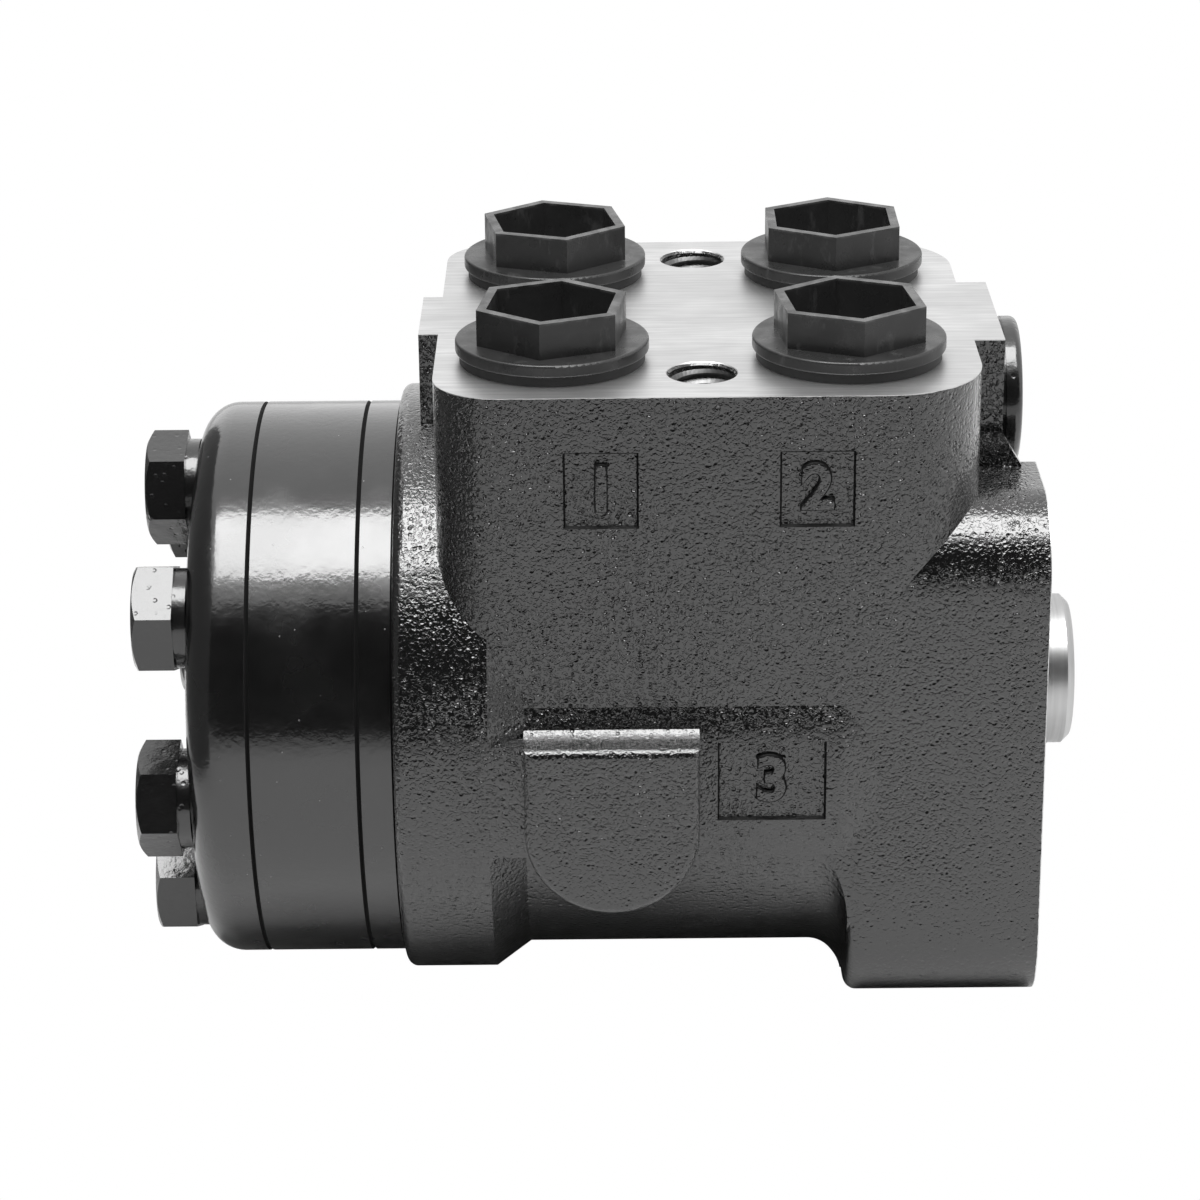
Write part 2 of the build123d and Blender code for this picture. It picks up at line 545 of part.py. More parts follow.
def housing():
    block = extrude(block_outline(), PORT_FACE_Z)
    taper_x = -COLUMN_FLANGE_LENGTH - BARREL_TAPER_START
    barrel = rod_x(BARREL_RADIUS, GEAR_FACE_X + GEAR_FLANGE_EDGE, taper_x)
    taper = Cone(BARREL_RADIUS, COLUMN_FLANGE_HALF - RUNNING_CLEARANCE, BARREL_TAPER_LENGTH)
    barrel += Pos(taper_x + BARREL_TAPER_LENGTH / 2, 0, 0) * Rot(0, 90, 0) * taper
    body = barrel + block + gear_flange() + column_flange() + sense_boss() + flange_web() + tabs()
    body -= slab(SPOT_FACE_X, OVERLAP, -NOTCH_HALF, NOTCH_HALF, NOTCH_FLOOR_Z, PORT_FACE_Z)
    for cut in valve_bore() + port_cuts() + relief_cuts() + threaded_cuts() + chamber_cuts():
        body -= cut
    for cut in marking_pockets():
        body -= cut
    return body - seal_groove(GEAR_FACE_X, 1)


# ---- metering set ----
def rotor_outline():
    """Rotor: the lobe centres' path round it, offset inwards by a lobe, as arcs for each tooth."""
    reach = LOBE_RADIUS + LOBE_CLEARANCE
    points = []
    for step in range(POINTS_PER_TOOTH + 1):
        u = pi / ROTOR_TEETH * (2 * step / POINTS_PER_TOOTH - 1)
        t = u + POINT_CROWDING * sin(ROTOR_TEETH * u) / ROTOR_TEETH
        x = LOBE_CIRCLE * cos(t) + ECCENTRICITY * cos(LOBES * t)
        y = LOBE_CIRCLE * sin(t) + ECCENTRICITY * sin(LOBES * t)
        slope_x = -LOBE_CIRCLE * sin(t) - ECCENTRICITY * LOBES * sin(LOBES * t)
        slope_y = LOBE_CIRCLE * cos(t) + ECCENTRICITY * LOBES * cos(LOBES * t)
        speed = hypot(slope_x, slope_y)
        points.append((x - reach * slope_y / speed, y + reach * slope_x / speed))
    arcs = [ThreePointArc(*points[step:step + 3]) for step in range(0, POINTS_PER_TOOTH, 2)]
    turns = [360.0 * (index + 0.5) / ROTOR_TEETH for index in range(ROTOR_TEETH)]
    return make_face([Rot(0, 0, turn) * arc for turn in turns for arc in arcs])


def rotor():
    """Six-toothed rotor, one lobe's root against the top lobe of the ring."""
    hub = spline_section(SPLINE_TEETH, HUB_MINOR_RADIUS, HUB_MAJOR_RADIUS, HUB_SPACE_WIDTH)
    section = Rot(0, 0, 90) * (rotor_outline() - hub)
    return Pos(0, 0, ECCENTRICITY) * prism_x(section, STATOR_X + SIDE_CLEARANCE, PLATE_X - SIDE_CLEARANCE)


def stator_ring():
    """Outer ring of the gerotor set with its seven lobes."""
    valley = LOBE_CIRCLE + 2 * ECCENTRICITY - LOBE_RADIUS + TIP_CLEARANCE
    cavity = Circle(valley)
    holes = []
    for y, z in polar_yz(LOBES, LOBE_CIRCLE):
        cavity -= Pos(y, z) * Circle(LOBE_RADIUS)
    section = Circle(SET_RADIUS) - cavity
    for y, z in polar_yz(LOBES, SET_BOLT_CIRCLE):
        section -= Pos(y, z) * Circle(SET_BOLT_HOLE_RADIUS)
    ring = prism_x(section, STATOR_X, PLATE_X)
    ring = chamfer_rim(ring, (0, -1))
    return ring - seal_groove(STATOR_X, 1) - seal_groove(PLATE_X, -1)


def chamfer_rim(disc, groups):
    """Small chamfer on the outer rim at the chosen ends, which leaves a line at each joint."""
    for group in groups:
        rim = disc.edges().group_by(Axis.X)[group].sort_by(SortBy.LENGTH)[-1]
        disc = chamfer(rim, JOINT_CHAMFER)
    return disc


def distributor_plate():
    """Plate between the housing and the gear set, with a port for each chamber."""
    section = Circle(SET_RADIUS) - Circle(PLATE_BORE_RADIUS)
    for y, z in polar_yz(LOBES, SET_BOLT_CIRCLE):
        section -= Pos(y, z) * Circle(SET_BOLT_HOLE_RADIUS)
    for y, z in polar_yz(LOBES, CHAMBER_DRILL_CIRCLE, 90 + 180.0 / LOBES):
        section -= Pos(y, z) * Circle(PLATE_PORT_RADIUS)
    return chamfer_rim(prism_x(section, PLATE_X, GEAR_FACE_X), (0, -1))


def end_cover():
    """Cover with a generous rounded edge."""
    disc = rod_x(SET_RADIUS, COVER_X, STATOR_X)
    disc = fillet(disc.edges().group_by(Axis.X)[0], COVER_EDGE)
    disc = chamfer_rim(disc, (-1,))
    for y, z in polar_yz(LOBES, SET_BOLT_CIRCLE):
        disc -= rod_x(SET_BOLT_HOLE_RADIUS, COVER_X, STATOR_X, y, z)
    return disc


def bolt(turn):
    """Hexagon head bolt with its seat at the origin and its shank along +X."""
    hexagon = Rot(0, 0, turn) * RegularPolygon(BOLT_ACROSS_FLATS / 2, 6, major_radius=False)
    head = prism_x(hexagon, -BOLT_HEAD_HEIGHT, 0)
    corner = BOLT_ACROSS_FLATS / sqrt(3)
    rise = BOLT_ACROSS_FLATS / 2 - 0.3
    drop = (corner - rise) * tan(radians(BOLT_HEAD_CHAMFER_ANGLE))
    cone = Cone(rise, corner, drop)
    trim = Pos(-BOLT_HEAD_HEIGHT + drop / 2, 0, 0) * Rot(0, 90, 0) * cone
    head = head & (trim + rod_x(corner, -BOLT_HEAD_HEIGHT + drop, 0))
    shank = rod_x(THREAD_RADIUS - THREAD_CLEARANCE, 0, BOLT_LENGTH)
    return head + shank


def cover_bolts():
    bolts = []
    for index, (y, z) in enumerate(polar_yz(LOBES, SET_BOLT_CIRCLE)):
        if index != CHECK_BOLT_INDEX:
            bolts.append(Pos(HEAD_SEAT_X, y, z) * bolt(BOLT_TURNS[index]))
    return Compound(children=bolts)


def check_bolt():
    """Cover bolt whose end carries a pin."""
    y, z = polar_yz(LOBES, SET_BOLT_CIRCLE)[CHECK_BOLT_INDEX]
    pin = rod_x(CHECK_PIN_RADIUS, BOLT_LENGTH, BOLT_LENGTH + CHECK_PIN_LENGTH)
    return Pos(HEAD_SEAT_X, y, z) * (bolt(BOLT_TURNS[CHECK_BOLT_INDEX]) + pin)


def bolt_washers():
    washer = ring_x(WASHER_RADIUS, SET_BOLT_HOLE_RADIUS, HEAD_SEAT_X, COVER_X)
    return Compound(children=[Pos(0, y, z) * washer for y, z in polar_yz(LOBES, SET_BOLT_CIRCLE)])


def face_seals():
    """Three round-section rings, each lying in its own groove."""
    inset = RING_SECTION + RING_CLEARANCE / 2
    places = (GEAR_FACE_X + inset, PLATE_X - inset, STATOR_X + inset)
    ring = Rot(0, 90, 0) * Torus(RING_CIRCLE, RING_SECTION)
    return Compound(children=[Pos(x, 0, 0) * ring for x in places])


# ---- sleeve and spool ----
def radial_holes(radius, count, x, reach, first=90.0):
    """Holes drilled inwards through a round wall."""
    return [drilling(radius, (x, 0, 0), (x, y, z)) for y, z in polar_yz(count, reach, first)]


def sleeve():
    body = ring_x(SLEEVE_RADIUS, SPOOL_RADIUS + RUNNING_CLEARANCE, SLEEVE_GEAR_X, INNER_RACE_X)
    for name in ("right", "pressure", "left"):
        x = GALLERY_XS[name]
        for hole in radial_holes(WINDOW_RADIUS, WINDOW_COUNT, x, SLEEVE_BORE_RADIUS + 1):
            body -= hole
    for hole in radial_holes(WINDOW_RADIUS, FEED_COUNT, CHAMBER_DRILL_END_X, SLEEVE_BORE_RADIUS + 1):
        body -= hole
    body -= rod_z(PIN_RADIUS + PIN_CLEARANCE, -SLEEVE_BORE_RADIUS, SLEEVE_BORE_RADIUS, PIN_X)
    half = SPRING_RING_WIDTH / 2 + SPRING_RING_CLEARANCE
    body -= ring_x(SLEEVE_BORE_RADIUS + 1, SPRING_RING_INNER - SPRING_RING_CLEARANCE,
                   SPRING_X - half, SPRING_X + half)
    return body - spring_slot()


def spring_slot():
    """Slot across the sleeve and the spool for the neutral springs."""
    half_x = LEAF_WIDTH / 2 + LEAF_SLOT_CLEARANCE
    half_z = LEAF_PACK_HALF + LEAF_SLOT_CLEARANCE
    reach = SLEEVE_BORE_RADIUS
    return slab(SPRING_X - half_x, SPRING_X + half_x, -reach, reach, -half_z, half_z)


def spool():
    """Rotary spool: grooved body, neck through the seals, splined socket for the column."""
    shoulder_x = INNER_RACE_X - END_CLEARANCE
    band_x = NECK_BAND_START
    body = rod_x(SPOOL_RADIUS, SLEEVE_GEAR_X + END_CLEARANCE, shoulder_x)
    neck = rod_x(NECK_RADIUS, shoulder_x, band_x)
    tip = rod_x(NECK_RADIUS - NECK_BAND, band_x, NECK_REACH)
    tip = chamfer(tip.edges().group_by(Axis.X)[-1], NECK_CHAMFER)
    body = body + neck + tip
    body -= rod_x(SPOOL_BORE_RADIUS, GEAR_FACE_X, INPUT_SPLINE_END_X)
    socket = spline_section(SPLINE_TEETH, INPUT_SPLINE_MINOR, INPUT_SPLINE_MAJOR, INPUT_SPLINE_SPACE)
    body -= prism_x(socket, INPUT_SPLINE_END_X, NECK_REACH)
    body -= rod_x(LEAD_IN_RADIUS, NECK_REACH - LEAD_IN_LENGTH, NECK_REACH)
    body -= rod_z(SPOOL_PIN_HOLE_RADIUS, -SPOOL_RADIUS, SPOOL_RADIUS, PIN_X)
    slot = slab(SPOOL_SLOT_X - SPOOL_SLOT_LENGTH / 2, SPOOL_SLOT_X + SPOOL_SLOT_LENGTH / 2,
                -SPOOL_SLOT_WIDTH / 2, SPOOL_SLOT_WIDTH / 2, SPOOL_RADIUS - SPOOL_SLOT_DEPTH,
                SPOOL_RADIUS + 1)
    for step in range(WINDOW_COUNT):
        body -= Rot((step + 0.5) * 360.0 / WINDOW_COUNT, 0, 0) * slot
    return body - spring_slot()


def cross_pin():
    """Pin that drives the sleeve from the cardan shaft and limits the spool's lag."""
    reach = SPRING_RING_INNER + SPRING_RING_THICKNESS - PIN_END_INSET
    pin = rod_z(PIN_RADIUS, -reach, reach, PIN_X)
    return chamfer(pin.edges().filter_by(GeomType.CIRCLE), PIN_END_INSET)


def spring_ring():
    """Thin ring that keeps the neutral springs in their slot."""
    half = SPRING_RING_WIDTH / 2
    return ring_x(SPRING_RING_INNER + SPRING_RING_THICKNESS - SPRING_RING_CLEARANCE,
                  SPRING_RING_INNER, SPRING_X - half, SPRING_X + half)


def leaf_springs():
    """Two flat leaves outside and two bowed pairs between them."""
    leaves = []
    half = LEAF_HALF_LENGTH
    low_x = SPRING_X - LEAF_WIDTH / 2
    for side in (-1, 1):
        outer = side * LEAF_PACK_HALF
        inner = side * (LEAF_PACK_HALF - LEAF_THICKNESS)
        flat = Pos(0, (outer + inner) / 2) * Rectangle(2 * half, LEAF_THICKNESS)
        leaves.append(prism_x(flat, low_x, low_x + LEAF_WIDTH))
        end_z = inner - side * LEAF_CLEAR
        middle_z = end_z - side * LEAF_BOW
        outer_arc = ThreePointArc((-half, end_z), (0, middle_z), (half, end_z))
        inner_arc = ThreePointArc((-half, end_z - side * LEAF_THICKNESS),
                                  (0, middle_z - side * LEAF_THICKNESS),
                                  (half, end_z - side * LEAF_THICKNESS))
        ends = [Line(outer_arc @ 0, inner_arc @ 0), Line(outer_arc @ 1, inner_arc @ 1)]
        leaves.append(prism_x(make_face([outer_arc, inner_arc] + ends), low_x, low_x + LEAF_WIDTH))
    return Compound(children=leaves)


# ---- bearing and seals ----
def bearing_outer_race():
    return ring_x(RACE_OUTER_RADIUS, RACE_INNER_RADIUS, OUTER_RACE_X, BORE_SHOULDER_X)


def bearing_inner_race():
    return ring_x(RACE_OUTER_RADIUS, RACE_INNER_RADIUS, INNER_RACE_X, INNER_RACE_X + INNER_RACE_THICKNESS)


def needle_angles():
    return [360.0 * step / NEEDLE_COUNT for step in range(NEEDLE_COUNT)]


def thrust_needles():
    middle = (RACE_OUTER_RADIUS + RACE_INNER_RADIUS) / 2
    needle = rod_z(NEEDLE_RADIUS - NEEDLE_CLEARANCE, middle - NEEDLE_LENGTH / 2, middle + NEEDLE_LENGTH / 2)
    return Compound(children=[Pos(NEEDLE_X, 0, 0) * Rot(angle, 0, 0) * needle for angle in needle_angles()])


def needle_cage():
    cage = ring_x(RACE_OUTER_RADIUS - 0.2, RACE_INNER_RADIUS + 0.1, NEEDLE_X - CAGE_THICKNESS / 2,
                  NEEDLE_X + CAGE_THICKNESS / 2)
    middle = (RACE_OUTER_RADIUS + RACE_INNER_RADIUS) / 2
    half_length = NEEDLE_LENGTH / 2 + CAGE_CLEARANCE
    half_width = NEEDLE_RADIUS + CAGE_CLEARANCE
    pocket = slab(NEEDLE_X - CAGE_THICKNESS, NEEDLE_X + CAGE_THICKNESS, -half_width, half_width,
                  middle - half_length, middle + half_length)
    for angle in needle_angles():
        cage -= Rot(angle, 0, 0) * pocket
    return cage


def shaft_seal():
    """Lip seal in the housing's groove, open towards the oil."""
    seal = ring_x(SEAL_OUTER_RADIUS, NECK_RADIUS + SEAL_CLEARANCE, SEAL_X, SEAL_X + SEAL_WIDTH)
    middle = (SEAL_OUTER_RADIUS + NECK_RADIUS) / 2
    return seal - ring_x(middle + SEAL_LIP / 2, middle - SEAL_LIP / 2, SEAL_X, SEAL_X + SEAL_WIDTH / 2)


def dust_seal():
    """Wiper ring in the column face."""
    return ring_x(DUST_SEAL_RADIUS, NECK_RADIUS + SEAL_CLEARANCE, -DUST_SEAL_DEPTH, -DUST_SEAL_INSET)


# ---- cardan shaft ----
def cardan_shaft():
    """Fork on the cross pin, slim shank, and a splined head in the rotor."""
    slot_half = PIN_RADIUS + SLOT_CLEARANCE
    slot_floor = -(PIN_RADIUS + SLOT_FLOOR_CLEARANCE)
    head = rod_x(FORK_RADIUS, FORK_REACH - FORK_LENGTH, FORK_REACH)
    head = chamfer(head.edges().filter_by(GeomType.CIRCLE), 1.0)
    head -= slab(slot_floor, FORK_REACH + 1, -slot_half, slot_half, -FORK_RADIUS - 1, FORK_RADIUS + 1)
    spline_low = -CARDAN_REACH - DRIVE_SPLINE_LENGTH / 2
    shank = rod_x(SHANK_RADIUS, spline_low, FORK_REACH - FORK_LENGTH)
    teeth = prism_x(spline_section(SPLINE_TEETH, DRIVE_ROOT_RADIUS, DRIVE_TIP_RADIUS, DRIVE_TOOTH_WIDTH),
                    spline_low, spline_low + DRIVE_SPLINE_LENGTH)
    return Pos(PIN_X, 0, 0) * Rot(0, CARDAN_TILT, 0) * (head + shank + teeth)


def cardan_spacer():
    """Disc between the shaft's end and the cover, carried round in the rotor's bore."""
    end_x = ROTOR_MIDDLE_X - DRIVE_SPLINE_LENGTH / 2
    return Pos(0, 0, ECCENTRICITY) * rod_x(SPACER_RADIUS, STATOR_X + SIDE_CLEARANCE, end_x - SPACER_GAP)


# ---- port plugs ----
def plug(turn):
    """Moulded plug with its flange's underside at the origin."""
    hexagon = Rot(0, 0, turn) * RegularPolygon(PLUG_HEX_ACROSS / 2, 6, major_radius=False)
    hollow = Rot(0, 0, turn) * RegularPolygon(PLUG_HEX_ACROSS / 2 - PLUG_HEX_WALL, 6, major_radius=False)
    flange = rod_z(PLUG_FLANGE_RADIUS, 0, PLUG_FLANGE_THICKNESS)
    flange = fillet(flange.edges().filter_by(GeomType.CIRCLE), PLUG_FLANGE_EDGE)
    top = PLUG_FLANGE_THICKNESS + PLUG_HEX_HEIGHT
    stem_low = -PLUG_SEAL_THICKNESS - PLUG_STEM_LENGTH
    body = flange + Pos(0, 0, PLUG_FLANGE_THICKNESS) * extrude(hexagon, PLUG_HEX_HEIGHT)
    body += rod_z(PORT_RADIUS - PLUG_STEM_CLEARANCE, stem_low, 0)
    body -= Pos(0, 0, PLUG_FLANGE_THICKNESS / 2) * extrude(hollow, top)
    return body - rod_z(PLUG_CORE_RADIUS, stem_low + PLUG_FLOOR, top)


def plug_places():
    rows = [PORTS["right"], PORTS["left"], PORTS["pressure"], PORTS["tank"]]
    return [(x, y, turn) for (x, y), turn in zip(rows, PLUG_TURNS)]


def port_plugs():
    seat_z = PORT_FACE_Z + PLUG_SEAL_THICKNESS
    return Compound(children=[Pos(x, y, seat_z) * plug(turn) for x, y, turn in plug_places()])


def plug_seals():
    seal = rod_z(PLUG_SEAL_RADIUS, 0, PLUG_SEAL_THICKNESS) - rod_z(PORT_RADIUS, 0, PLUG_SEAL_THICKNESS)
    return Compound(children=[Pos(x, y, PORT_FACE_Z) * seal for x, y, turn in plug_places()])


# ---- relief valve ----
def relief_washer():
    outer_x = SPOT_FACE_X + RELIEF_WASHER_THICKNESS
    return Pos(0, 0, RELIEF_Z) * ring_x(RELIEF_WASHER_RADIUS, RELIEF_BORE_RADIUS, SPOT_FACE_X, outer_x)


def relief_plug():
    """Screw plug with a flat round head and a hollow stem."""
    seat_x = SPOT_FACE_X + RELIEF_WASHER_THICKNESS
    face_x = seat_x + RELIEF_HEAD_THICKNESS
    head = rod_x(RELIEF_HEAD_RADIUS, seat_x, face_x)
    head = fillet(head.edges().group_by(Axis.X)[-1], RELIEF_HEAD_EDGE)
    stem_end = seat_x - RELIEF_STEM_LENGTH
    body = head + rod_x(RELIEF_BORE_RADIUS - RELIEF_FIT, stem_end, seat_x)
    body -= rod_x(RELIEF_STEM_BORE, stem_end, face_x - RELIEF_CAP_THICKNESS)
    socket = RegularPolygon(RELIEF_SOCKET_ACROSS / 2, 6, major_radius=False)
    return Pos(0, 0, RELIEF_Z) * (body - prism_x(socket, face_x - RELIEF_SOCKET_DEPTH, face_x))


def adjuster_x():
    cap_x = SPOT_FACE_X + RELIEF_WASHER_THICKNESS + RELIEF_HEAD_THICKNESS - RELIEF_CAP_THICKNESS
    return cap_x - ADJUSTER_LENGTH


def relief_adjuster():
    """Set screw inside the plug that loads the spring."""
    low = adjuster_x()
    screw = rod_x(RELIEF_STEM_BORE - RELIEF_FIT, low, low + ADJUSTER_LENGTH)
    socket = RegularPolygon(ADJUSTER_SOCKET_ACROSS / 2, 6, major_radius=False)
    screw -= prism_x(socket, low + ADJUSTER_LENGTH - ADJUSTER_SOCKET_DEPTH, low + ADJUSTER_LENGTH)
    return Pos(0, 0, RELIEF_Z) * screw


def relief_seat():
    """Hard seat pressed to the end of the bore."""
    seat = ring_x(RELIEF_BORE_RADIUS - RELIEF_FIT, SEAT_HOLE_RADIUS, SEAT_X, SEAT_X + SEAT_LENGTH)
    return Pos(0, 0, RELIEF_Z) * seat


def poppet_collar_x():
    """Where the cone's full radius starts, with the cone resting in the seat's mouth."""
    slope = (POPPET_RADIUS - POPPET_TIP_RADIUS) / POPPET_CONE_LENGTH
    return SEAT_X + SEAT_LENGTH + (POPPET_RADIUS - SEAT_HOLE_RADIUS) / slope + RELIEF_FIT


def relief_poppet():
    collar_x = poppet_collar_x()
    cone = Cone(POPPET_TIP_RADIUS, POPPET_RADIUS, POPPET_CONE_LENGTH)
    poppet = Pos(collar_x - POPPET_CONE_LENGTH / 2, 0, 0) * Rot(0, 90, 0) * cone
    poppet += rod_x(POPPET_RADIUS, collar_x, collar_x + POPPET_COLLAR)
    stem_x = collar_x + POPPET_COLLAR
    poppet += rod_x(POPPET_STEM_RADIUS, stem_x, stem_x + POPPET_STEM_LENGTH)
    return Pos(0, 0, RELIEF_Z) * poppet


def relief_spring():
    """Compression spring between the poppet's collar and the adjuster."""
    wire = RELIEF_WIRE_RADIUS
    low = poppet_collar_x() + POPPET_COLLAR + wire + RELIEF_FIT
    high = adjuster_x() - wire - RELIEF_FIT
    length = high - low
    path = Helix(length / RELIEF_SPRING_TURNS, length, RELIEF_SPRING_RADIUS)
    section = Plane(origin=path @ 0, z_dir=path % 0) * RegularPolygon(wire, WIRE_SIDES)
    return Pos(low, 0, RELIEF_Z) * Rot(0, 90, 0) * sweep(section, path, is_frenet=True)


# ---- check valve ----
def check_bushing():
    x, y = PORTS["pressure"]
    bushing = rod_z(CHECK_BORE_RADIUS - RELIEF_FIT, BUSHING_Z, BUSHING_Z + BUSHING_LENGTH, x, y)
    return bushing - rod_z(BUSHING_HOLE_RADIUS, BUSHING_Z, BUSHING_Z + BUSHING_LENGTH, x, y)


def check_ball():
    x, y = PORTS["pressure"]
    return Pos(x, y, BALL_Z) * Sphere(BALL_RADIUS)


NODES = {
    "housing": housing,
    "distributor_plate": distributor_plate,
    "stator_ring": stator_ring,
    "rotor": rotor,
    "end_cover": end_cover,
    "cover_bolts": cover_bolts,
    "check_bolt": check_bolt,
    "bolt_washers": bolt_washers,
    "face_seals": face_seals,
    "sleeve": sleeve,
    "spool": spool,
    "cross_pin": cross_pin,
    "leaf_springs": leaf_springs,
    "spring_ring": spring_ring,
    "bearing_outer_race": bearing_outer_race,
    "bearing_inner_race": bearing_inner_race,
    "thrust_needles": thrust_needles,
    "needle_cage": needle_cage,
    "shaft_seal": shaft_seal,
    "dust_seal": dust_seal,
    "cardan_shaft": cardan_shaft,
    "cardan_spacer": cardan_spacer,
    "port_plugs": port_plugs,
    "plug_seals": plug_seals,
    "relief_plug": relief_plug,
    "relief_washer": relief_washer,
    "relief_adjuster": relief_adjuster,
    "relief_spring": relief_spring,
    "relief_poppet": relief_poppet,
    "relief_seat": relief_seat,
    "check_bushing": check_bushing,
    "check_ball": check_ball,
}

os.makedirs("parts", exist_ok=True)
for name, build in NODES.items():
    export_step(build(), f"parts/{name}.step")
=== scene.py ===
"""Looks of the orbital steering unit: finishes, threads, cast marks, lights and camera.

Lengths are written in millimetres and turned into metres by MM. The frame is the CAD's: X runs
along the spool out of the column face, Z out of the port face, and the front is -Y.
"""

import json
from collections import namedtuple
from math import cos, pi, radians, sin, sqrt, tan

import bmesh
import bpy
from mathutils import Matrix, Vector


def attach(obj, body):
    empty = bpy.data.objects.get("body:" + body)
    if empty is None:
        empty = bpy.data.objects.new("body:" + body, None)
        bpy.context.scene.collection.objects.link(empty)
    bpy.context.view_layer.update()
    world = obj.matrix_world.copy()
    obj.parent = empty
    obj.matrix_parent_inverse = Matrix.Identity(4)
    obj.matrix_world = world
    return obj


MM = 0.001

# ---- camera, solved from the photograph's perspective ----
CAMERA_PLACE = (-67.2, -559.5, 233.7)
CAMERA_PITCH = 21.55            # degrees below the horizon
CAMERA_YAW = -0.11
CAMERA_ROLL = -0.58
CAMERA_LENS = 110.5
SENSOR_WIDTH = 36.0

# ---- stage ----
REST_FRONT = (-85.5, -47.8)     # x, z of the two edges the unit lies on
REST_BACK = (0.0, -42.0)
FLOOR_SIZE = 6000.0
FLOOR_TONE = 0.76
ROOM_LEVEL = 0.7                # the world's light on dull surfaces
LIGHT_TARGET = (-60.0, 0.0, 10.0)
SOFTBOX_RADIANCE = 8.5
SOFTBOX_ELEVATION = 76.0        # degrees above the horizon in front
SOFTBOX_DISTANCE = 620.0
SOFTBOX_WIDTH = 560.0
SOFTBOX_DEPTH = 320.0
CARD_DISTANCE = 1300.0          # dark wall behind the camera, for the gloss to show
CARD_WIDTH = 6000.0
CARD_TOP_ELEVATION = 51.0
CARD_TONE = 0.03
FLAG_X = -262.0                 # dark flag close on the left, which darkens the left-hand edges
FLAG_FRONT_Y = -225.0
FLAG_REAR_Y = 320.0
FLAG_TOP_Z = 260.0
FLAG_TONE = 0.16
BOARD_CLEARANCE = 1.0           # above the floor

# ---- places on the casting ----
PORT_FACE_Z = 61.5
COLUMN_FACE_X = 0.0
BLOCK_FRONT_Y = -42.2
BARREL_RADIUS = 43.8
PLUG_TOP_Z = 70.6
SMOOTH_BELOW_Z = -34.0          # the casting is smoothest under this height
ROUGH_ABOVE_Z = -4.0            # and at its roughest over this one
VALVE_HOLES = [(-52.5, -30.5), (-52.5, 30.5)]
COLUMN_HOLE_CIRCLE = 82.5
COLUMN_HOLE_OFFSET = COLUMN_HOLE_CIRCLE / 2 / sqrt(2)
THREAD_MINOR = 4.25
THREAD_PITCH = 1.5
THREAD_TURNS = 9
THREAD_MOUTH = 0.6              # plain mouth before the first turn
THREAD_STEPS = 40
THREAD_ROOT = 5.05              # the ridge's foot, a little inside the hole's wall
THREAD_FOOT_HALF = 0.5          # half the ridge's width at its foot and at its crest, in pitches
THREAD_CREST_HALF = 0.08
THREAD_END = 0.02               # share of the ridge's height that is left at its two ends

# ---- finishes ----
PAINT_IOR = 1.6
COAT_IOR = 1.5
CAST_RELIEF = 0.26              # height of the casting's lumps, grain and pits
LUMPS_SHARE = 0.5
GRAIN_SHARE = 0.32
PITS_SHARE = 0.8
LOW_SHARE = 0.38                # share of that relief near the bottom of the casting
TOPSIDE_SHARE = 0.48            # and on its upper sides, where the paint ran level
TURNED_RELIEF = 0.035
BOLT_RELIEF = 0.10
PLUG_RELIEF = 0.012
RIM_WEAR_DEPTH = 0.5            # how far down a plug's rim is worn
RIM_WORST_DEPTH = 0.05          # and how far down the wear is at its worst
BARE_DEPTH = 0.12               # how far below a ground face the bare metal reaches
BARE_WOBBLE = 0.25              # how far that edge wanders
JOINT_PLACES = (-100.0, -105.5, -122.3)     # x of the joints between housing, plate, ring and cover
JOINT_SHADE_LINE = 0.66               # width of the painted shade line at each of them

# ---- cast marks ----
MARK_STROKE_HEIGHT = 0.4        # of the straight part of a stroke's sides
MARK_STROKE_SPREAD = 0.12       # makes the strokes as bold as cast ones
MARK_SCALE = 1.38               # font size for one millimetre of figure height
MARK_EDGE = 0.42                # rounding of a stroke's edges
BLOCK_FRAME_DEPTH = 0.6         # from the block's front in to a frame's floor
BARREL_FRAME_DEPTH = 1.2        # and from the barrel's foremost line
BLOCK_FLOOR_Y = BLOCK_FRONT_Y + BLOCK_FRAME_DEPTH
BARREL_FLOOR_Y = -BARREL_RADIUS + BARREL_FRAME_DEPTH
BARREL_MARK_FACE_Y = -43.3      # the barrel's surface round the third frame
FRAME_DRAFT = 0.32              # width of the sloping walls of a mark's frame
FRAME_PROUD = 0.06              # how far those walls stand out of the casting
Mark = namedtuple("Mark", "name figure x z figure_height width height floor_y face_y")
MARKS = [
    Mark("one", "1", -67.9, 46.85, 7.0, 11.3, 12.0, BLOCK_FLOOR_Y, BLOCK_FRONT_Y),
    Mark("two", "2", -35.5, 46.85, 7.0, 11.3, 12.0, BLOCK_FLOOR_Y, BLOCK_FRONT_Y),
    Mark("three", "3", -42.05, -0.35, 7.4, 16.7, 13.1, BARREL_FLOOR_Y, BARREL_MARK_FACE_Y),
]


